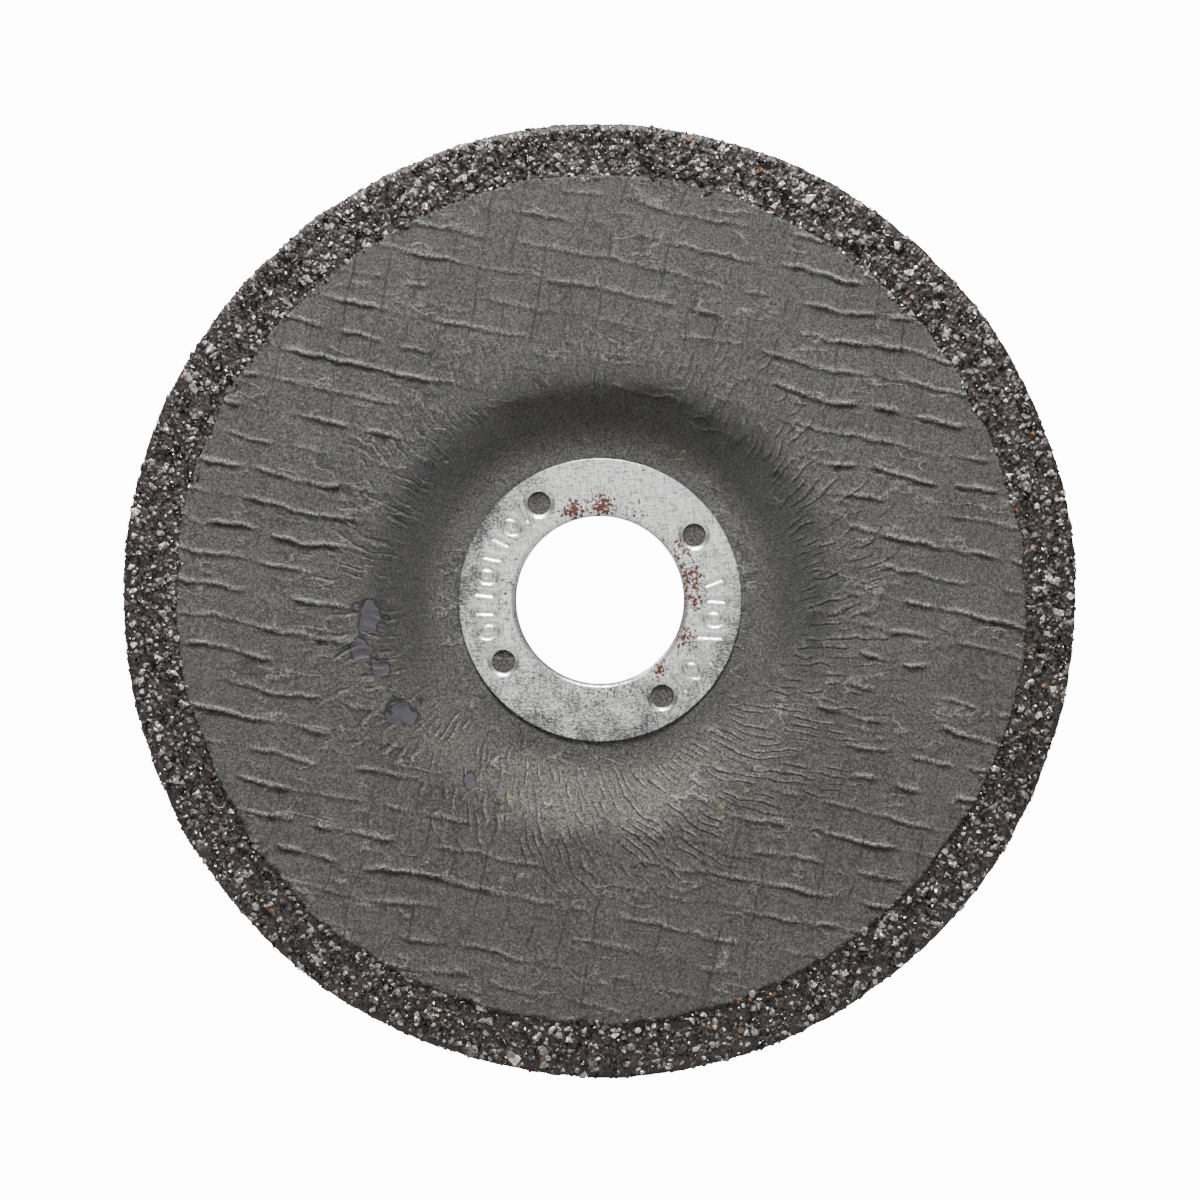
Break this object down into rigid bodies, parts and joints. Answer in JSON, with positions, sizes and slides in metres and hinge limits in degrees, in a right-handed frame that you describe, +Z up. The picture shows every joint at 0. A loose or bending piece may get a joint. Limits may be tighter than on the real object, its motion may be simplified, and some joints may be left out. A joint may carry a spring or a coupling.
{
  "type": "depressed-centre grinding disc",
  "caption": "Round resin-bonded grinding disc for an angle grinder, with a set-back hub, a steel centre ring, a black cover sheet and a bare band of coarse grain round its rim.",
  "frame": {"origin": "On the spindle axis, in the plane of the hub's back face, where the grinder's backing flange bears.", "axes": "+X points across the disc, to the right as the working face is seen; +Y points along the spindle, from the working face to the back of the hub; +Z points up across the disc."},
  "size_m": [0.125, 0.0106, 0.125],
  "materials": {
    "label_paper": "satin",
    "black_sheet": "matte",
    "glass_yarn": "satin",
    "bonded_grain": "rough",
    "tinned_steel": "satin"
  },
  "bodies": {
    "root": {"paper_label": "label_paper", "back_cover_sheet": "black_sheet", "back_glass_net": "glass_yarn", "back_abrasive_layer": "bonded_grain", "middle_glass_net": "glass_yarn", "front_abrasive_layer": "bonded_grain", "front_glass_net": "glass_yarn", "front_cover_sheet": "black_sheet", "hub_ring": "tinned_steel"}
  },
  "joints": []
}
